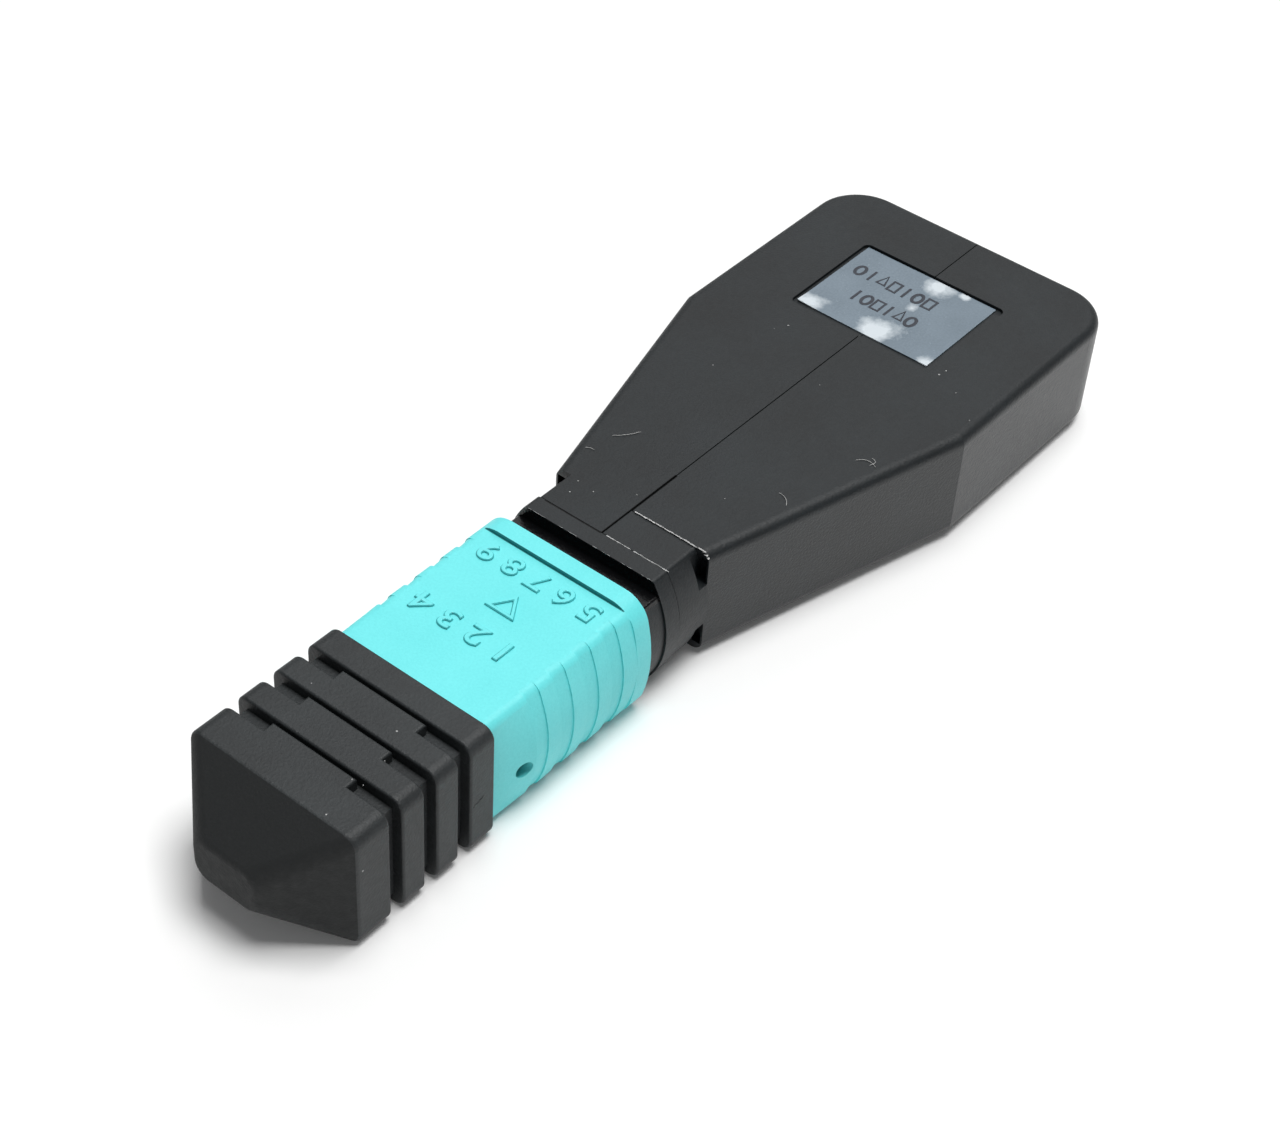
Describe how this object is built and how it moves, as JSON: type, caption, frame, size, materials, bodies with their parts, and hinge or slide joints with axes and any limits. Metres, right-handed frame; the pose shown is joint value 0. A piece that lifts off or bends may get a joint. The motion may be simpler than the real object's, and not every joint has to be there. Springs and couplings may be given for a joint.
{
  "type": "multi-fibre loopback plug",
  "caption": "Push-pull multi-fibre plug with a ribbed dust cap, a sprung aqua coupling and a flat paddle housing in which the fibres turn back to the ferrule.",
  "frame": {"origin": "centre of the ferrule's end face, on the plug's axis", "axes": "+X is the way the plug enters its adapter, +Y is one side, +Z is the key side"},
  "size_m": [0.0781, 0.0242, 0.0094],
  "materials": {
    "housing_left": "fine-textured black moulding",
    "housing_right": "fine-textured black moulding",
    "label": "printed grey-blue film",
    "spring_push": "moulded black",
    "inner_housing": "moulded black",
    "ferrule_spring": "drawn spring wire",
    "coupling_spring_left": "drawn spring wire",
    "coupling_spring_right": "drawn spring wire",
    "outer_coupling": "moulded aqua, satin",
    "ferrule": "filled black resin, polished end",
    "ferrule_boot": "black rubber",
    "pin_keeper": "moulded black",
    "fibre_loop_1": "coated glass fibre",
    "fibre_loop_2": "coated glass fibre",
    "fibre_loop_3": "coated glass fibre",
    "fibre_loop_4": "coated glass fibre",
    "fibre_loop_5": "coated glass fibre",
    "fibre_loop_6": "coated glass fibre",
    "dust_cap": "moulded black, soft sheen"
  },
  "bodies": {
    "paddle": {"housing_left": "housing_left", "housing_right": "housing_right", "label": "label", "spring_push": "spring_push", "inner_housing": "inner_housing", "ferrule_spring": "ferrule_spring", "coupling_spring_left": "coupling_spring_left", "coupling_spring_right": "coupling_spring_right"},
    "pull_sleeve": {"outer_coupling": "outer_coupling"},
    "ferrule_group": {"ferrule": "ferrule", "ferrule_boot": "ferrule_boot", "pin_keeper": "pin_keeper", "fibre_loop_1": "fibre_loop_1", "fibre_loop_2": "fibre_loop_2", "fibre_loop_3": "fibre_loop_3", "fibre_loop_4": "fibre_loop_4", "fibre_loop_5": "fibre_loop_5", "fibre_loop_6": "fibre_loop_6"},
    "cap": {"dust_cap": "dust_cap"}
  },
  "joints": [
    {"name": "coupling_slide", "type": "slide", "parent": "paddle", "child": "pull_sleeve", "axis": [-1, 0, 0], "range_m": [0, 0.0016], "stiffness_N_per_m": 800, "springref_m": -0.002, "deforming": ["coupling_spring_left", "coupling_spring_right"]},
    {"name": "ferrule_slide", "type": "slide", "parent": "paddle", "child": "ferrule_group", "axis": [-1, 0, 0], "range_m": [0, 0.0009], "stiffness_N_per_m": 2000, "springref_m": -0.004, "deforming": ["ferrule_spring"]},
    {"name": "cap_slide", "type": "slide", "parent": "paddle", "child": "cap", "axis": [1, 0, 0], "range_m": [0, 0.02]}
  ]
}
